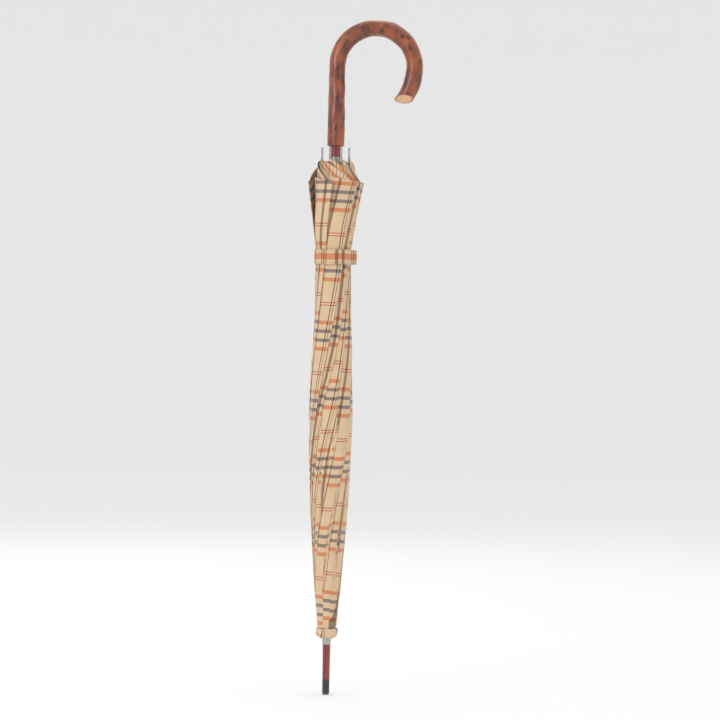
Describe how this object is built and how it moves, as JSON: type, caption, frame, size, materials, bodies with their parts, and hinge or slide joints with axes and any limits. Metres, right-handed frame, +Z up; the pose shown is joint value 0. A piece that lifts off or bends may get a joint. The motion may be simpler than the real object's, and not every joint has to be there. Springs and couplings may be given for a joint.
{
  "type": "stick umbrella",
  "caption": "Closed stick umbrella with a bent wooden crook handle, a wooden shaft, a rolled and strapped plaid canopy on hinged ribs, and a capped tip.",
  "frame": {"origin": "on the shaft's axis at the flat bottom of the tip cap", "axes": "+Z up along the shaft towards the handle, +X the way the crook bends, +Y the other horizontal"},
  "size_m": [0.1536, 0.0778, 0.9],
  "materials": {
    "handle_wood": "bent chestnut, stained and lacquered, gloss",
    "shaft_wood": "turned hardwood, red stain, gloss lacquer",
    "cap_black": "black enamel, worn",
    "bright_metal": "polished nickel plate",
    "frame_steel": "black lacquered steel",
    "plain_steel": "bright steel",
    "canopy_cloth": "fine twill, woven plaid",
    "strap_cloth": "fine twill, two layers, stitched",
    "touch_tape": "woven touch fastener"
  },
  "bodies": {
    "root": {"crook_handle": "handle_wood", "shaft": "shaft_wood", "stop_pin": "plain_steel", "tip_cap": "cap_black", "tip_collar": "bright_metal", "rosette": "canopy_cloth", "notch": "plain_steel", "notch_wire": "plain_steel"},
    "rib_1": {"rib_1": "frame_steel", "rib_tip_1": "bright_metal", "rivet_1": "plain_steel"},
    "stretcher_1": {"stretcher_1": "frame_steel"},
    "gore_1": {"gore_1": "canopy_cloth"},
    "rib_2": {"rib_2": "frame_steel", "rib_tip_2": "bright_metal", "rivet_2": "plain_steel"},
    "stretcher_2": {"stretcher_2": "frame_steel"},
    "gore_2": {"gore_2": "canopy_cloth"},
    "rib_3": {"rib_3": "frame_steel", "rib_tip_3": "bright_metal", "rivet_3": "plain_steel"},
    "stretcher_3": {"stretcher_3": "frame_steel"},
    "gore_3": {"gore_3": "canopy_cloth"},
    "rib_4": {"rib_4": "frame_steel", "rib_tip_4": "bright_metal", "rivet_4": "plain_steel"},
    "stretcher_4": {"stretcher_4": "frame_steel"},
    "gore_4": {"gore_4": "canopy_cloth"},
    "rib_5": {"rib_5": "frame_steel", "rib_tip_5": "bright_metal", "rivet_5": "plain_steel"},
    "stretcher_5": {"stretcher_5": "frame_steel"},
    "gore_5": {"gore_5": "canopy_cloth"},
    "rib_6": {"rib_6": "frame_steel", "rib_tip_6": "bright_metal", "rivet_6": "plain_steel"},
    "stretcher_6": {"stretcher_6": "frame_steel"},
    "gore_6": {"gore_6": "canopy_cloth"},
    "rib_7": {"rib_7": "frame_steel", "rib_tip_7": "bright_metal", "rivet_7": "plain_steel"},
    "stretcher_7": {"stretcher_7": "frame_steel"},
    "gore_7": {"gore_7": "canopy_cloth", "strap_base": "strap_cloth", "strap_loop_patch": "touch_tape"},
    "rib_8": {"rib_8": "frame_steel", "rib_tip_8": "bright_metal", "rivet_8": "plain_steel"},
    "stretcher_8": {"stretcher_8": "frame_steel"},
    "gore_8": {"gore_8": "canopy_cloth"},
    "runner": {"runner": "plain_steel", "runner_wire": "plain_steel"},
    "bottom_catch": {"bottom_catch": "plain_steel"},
    "top_catch": {"top_catch": "plain_steel"},
    "strap_side": {"strap_side": "strap_cloth"},
    "strap_back": {"strap_back": "strap_cloth"},
    "strap_end": {"strap_end": "strap_cloth", "strap_hook_patch": "touch_tape"}
  },
  "joints": [
    {"name": "canopy_open", "type": "hinge", "parent": "root", "child": "rib_1", "pos_m": [0.0085, 0.00352, 0.092], "axis": [-0.3827, 0.9239, 0], "range_deg": [0, 69.07], "deforming": ["bottom_catch", "top_catch"]},
    {"name": "stretcher_1_swing", "type": "hinge", "parent": "rib_1", "child": "stretcher_1", "pos_m": [0.01282, 0.00531, 0.37996], "axis": [-0.3827, 0.9239, 0], "range_deg": [-138.14, 0]},
    {"name": "gore_1_spread", "type": "hinge", "parent": "rib_1", "child": "gore_1", "pos_m": [-0.02743, -0.02743, 0.06101], "axis": [-0.5967, -0.5967, -0.5365], "range_deg": [0, 50.12]},
    {"name": "rib_2_swing", "type": "hinge", "parent": "root", "child": "rib_2", "pos_m": [0.00352, 0.0085, 0.092], "axis": [-0.9239, 0.3827, 0], "range_deg": [0, 69.07]},
    {"name": "stretcher_2_swing", "type": "hinge", "parent": "rib_2", "child": "stretcher_2", "pos_m": [0.00531, 0.01282, 0.37996], "axis": [-0.9239, 0.3827, 0], "range_deg": [-138.14, 0]},
    {"name": "gore_2_spread", "type": "hinge", "parent": "rib_2", "child": "gore_2", "pos_m": [0, -0.03879, 0.06101], "axis": [0, -0.8439, -0.5365], "range_deg": [0, 50.12]},
    {"name": "rib_3_swing", "type": "hinge", "parent": "root", "child": "rib_3", "pos_m": [-0.00352, 0.0085, 0.092], "axis": [-0.9239, -0.3827, 0], "range_deg": [0, 69.07]},
    {"name": "stretcher_3_swing", "type": "hinge", "parent": "rib_3", "child": "stretcher_3", "pos_m": [-0.00531, 0.01282, 0.37996], "axis": [-0.9239, -0.3827, 0], "range_deg": [-138.14, 0]},
    {"name": "gore_3_spread", "type": "hinge", "parent": "rib_3", "child": "gore_3", "pos_m": [0.02743, -0.02743, 0.06101], "axis": [0.5967, -0.5967, -0.5365], "range_deg": [0, 50.12]},
    {"name": "rib_4_swing", "type": "hinge", "parent": "root", "child": "rib_4", "pos_m": [-0.0085, 0.00352, 0.092], "axis": [-0.3827, -0.9239, 0], "range_deg": [0, 69.07]},
    {"name": "stretcher_4_swing", "type": "hinge", "parent": "rib_4", "child": "stretcher_4", "pos_m": [-0.01282, 0.00531, 0.37996], "axis": [-0.3827, -0.9239, 0], "range_deg": [-138.14, 0]},
    {"name": "gore_4_spread", "type": "hinge", "parent": "rib_4", "child": "gore_4", "pos_m": [0.03879, 0, 0.06101], "axis": [0.8439, 0, -0.5365], "range_deg": [0, 50.12]},
    {"name": "rib_5_swing", "type": "hinge", "parent": "root", "child": "rib_5", "pos_m": [-0.0085, -0.00352, 0.092], "axis": [0.3827, -0.9239, 0], "range_deg": [0, 69.07]},
    {"name": "stretcher_5_swing", "type": "hinge", "parent": "rib_5", "child": "stretcher_5", "pos_m": [-0.01282, -0.00531, 0.37996], "axis": [0.3827, -0.9239, 0], "range_deg": [-138.14, 0]},
    {"name": "gore_5_spread", "type": "hinge", "parent": "rib_5", "child": "gore_5", "pos_m": [0.02743, 0.02743, 0.06101], "axis": [0.5967, 0.5967, -0.5365], "range_deg": [0, 50.12]},
    {"name": "rib_6_swing", "type": "hinge", "parent": "root", "child": "rib_6", "pos_m": [-0.00352, -0.0085, 0.092], "axis": [0.9239, -0.3827, 0], "range_deg": [0, 69.07]},
    {"name": "stretcher_6_swing", "type": "hinge", "parent": "rib_6", "child": "stretcher_6", "pos_m": [-0.00531, -0.01282, 0.37996], "axis": [0.9239, -0.3827, 0], "range_deg": [-138.14, 0]},
    {"name": "gore_6_spread", "type": "hinge", "parent": "rib_6", "child": "gore_6", "pos_m": [0, 0.03879, 0.06101], "axis": [0, 0.8439, -0.5365], "range_deg": [0, 50.12]},
    {"name": "rib_7_swing", "type": "hinge", "parent": "root", "child": "rib_7", "pos_m": [0.00352, -0.0085, 0.092], "axis": [0.9239, 0.3827, 0], "range_deg": [0, 69.07]},
    {"name": "stretcher_7_swing", "type": "hinge", "parent": "rib_7", "child": "stretcher_7", "pos_m": [0.00531, -0.01282, 0.37996], "axis": [0.9239, 0.3827, 0], "range_deg": [-138.14, 0]},
    {"name": "gore_7_spread", "type": "hinge", "parent": "rib_7", "child": "gore_7", "pos_m": [-0.02743, 0.02743, 0.06101], "axis": [-0.5967, 0.5967, -0.5365], "range_deg": [0, 50.12]},
    {"name": "rib_8_swing", "type": "hinge", "parent": "root", "child": "rib_8", "pos_m": [0.0085, -0.00352, 0.092], "axis": [0.3827, 0.9239, 0], "range_deg": [0, 69.07]},
    {"name": "stretcher_8_swing", "type": "hinge", "parent": "rib_8", "child": "stretcher_8", "pos_m": [0.01282, -0.00531, 0.37996], "axis": [0.3827, 0.9239, 0], "range_deg": [-138.14, 0]},
    {"name": "gore_8_spread", "type": "hinge", "parent": "rib_8", "child": "gore_8", "pos_m": [-0.03879, 0, 0.06101], "axis": [-0.8439, 0, -0.5365], "range_deg": [0, 50.12]},
    {"name": "runner_slide_pivot", "type": "hinge", "parent": "stretcher_1", "child": "runner", "pos_m": [0.0085, 0.00352, 0.66792], "axis": [-0.3827, 0.9239, 0], "range_deg": [0, 69.07]},
    {"name": "bottom_catch_press", "type": "hinge", "parent": "root", "child": "bottom_catch", "pos_m": [0, 0.0034, 0.66012], "axis": [1, 0, 0], "range_deg": [0, 3.15], "stiffness_Nm_per_rad": 4},
    {"name": "top_catch_press", "type": "hinge", "parent": "root", "child": "top_catch", "pos_m": [0, 0.0034, 0.3883], "axis": [-1, 0, 0], "range_deg": [0, 3.15], "stiffness_Nm_per_rad": 4},
    {"name": "strap_side_unwrap", "type": "hinge", "parent": "gore_7", "child": "strap_side", "pos_m": [0.02274, -0.00965, 0.582], "axis": [0, 0, -1], "range_deg": [0, 118.25], "deforming": ["strap_side"]},
    {"name": "strap_back_unwrap", "type": "hinge", "parent": "strap_side", "child": "strap_back", "pos_m": [-0.00152, 0.0249, 0.582], "axis": [0, 0, -1], "range_deg": [0, 110.5], "deforming": ["strap_back"]},
    {"name": "strap_end_unwrap", "type": "hinge", "parent": "strap_back", "child": "strap_end", "pos_m": [-0.02439, -0.0084, 0.582], "axis": [0, 0, -1], "range_deg": [0, 125.7], "deforming": ["strap_end", "strap_hook_patch"]}
  ],
  "couplings": [
    {"joint": "stretcher_1_swing", "follows": "canopy_open", "ratio": -2},
    {"joint": "gore_1_spread", "follows": "canopy_open", "ratio": 0.72563},
    {"joint": "rib_2_swing", "follows": "canopy_open", "ratio": 1},
    {"joint": "stretcher_2_swing", "follows": "canopy_open", "ratio": -2},
    {"joint": "gore_2_spread", "follows": "canopy_open", "ratio": 0.72563},
    {"joint": "rib_3_swing", "follows": "canopy_open", "ratio": 1},
    {"joint": "stretcher_3_swing", "follows": "canopy_open", "ratio": -2},
    {"joint": "gore_3_spread", "follows": "canopy_open", "ratio": 0.72563},
    {"joint": "rib_4_swing", "follows": "canopy_open", "ratio": 1},
    {"joint": "stretcher_4_swing", "follows": "canopy_open", "ratio": -2},
    {"joint": "gore_4_spread", "follows": "canopy_open", "ratio": 0.72563},
    {"joint": "rib_5_swing", "follows": "canopy_open", "ratio": 1},
    {"joint": "stretcher_5_swing", "follows": "canopy_open", "ratio": -2},
    {"joint": "gore_5_spread", "follows": "canopy_open", "ratio": 0.72563},
    {"joint": "rib_6_swing", "follows": "canopy_open", "ratio": 1},
    {"joint": "stretcher_6_swing", "follows": "canopy_open", "ratio": -2},
    {"joint": "gore_6_spread", "follows": "canopy_open", "ratio": 0.72563},
    {"joint": "rib_7_swing", "follows": "canopy_open", "ratio": 1},
    {"joint": "stretcher_7_swing", "follows": "canopy_open", "ratio": -2},
    {"joint": "gore_7_spread", "follows": "canopy_open", "ratio": 0.72563},
    {"joint": "rib_8_swing", "follows": "canopy_open", "ratio": 1},
    {"joint": "stretcher_8_swing", "follows": "canopy_open", "ratio": -2},
    {"joint": "gore_8_spread", "follows": "canopy_open", "ratio": 0.72563},
    {"joint": "runner_slide_pivot", "follows": "canopy_open", "ratio": 1},
    {"joint": "strap_side_unwrap", "follows": "canopy_open", "ratio": 1.712},
    {"joint": "strap_back_unwrap", "follows": "canopy_open", "ratio": 1.5998},
    {"joint": "strap_end_unwrap", "follows": "canopy_open", "ratio": 1.8199}
  ]
}
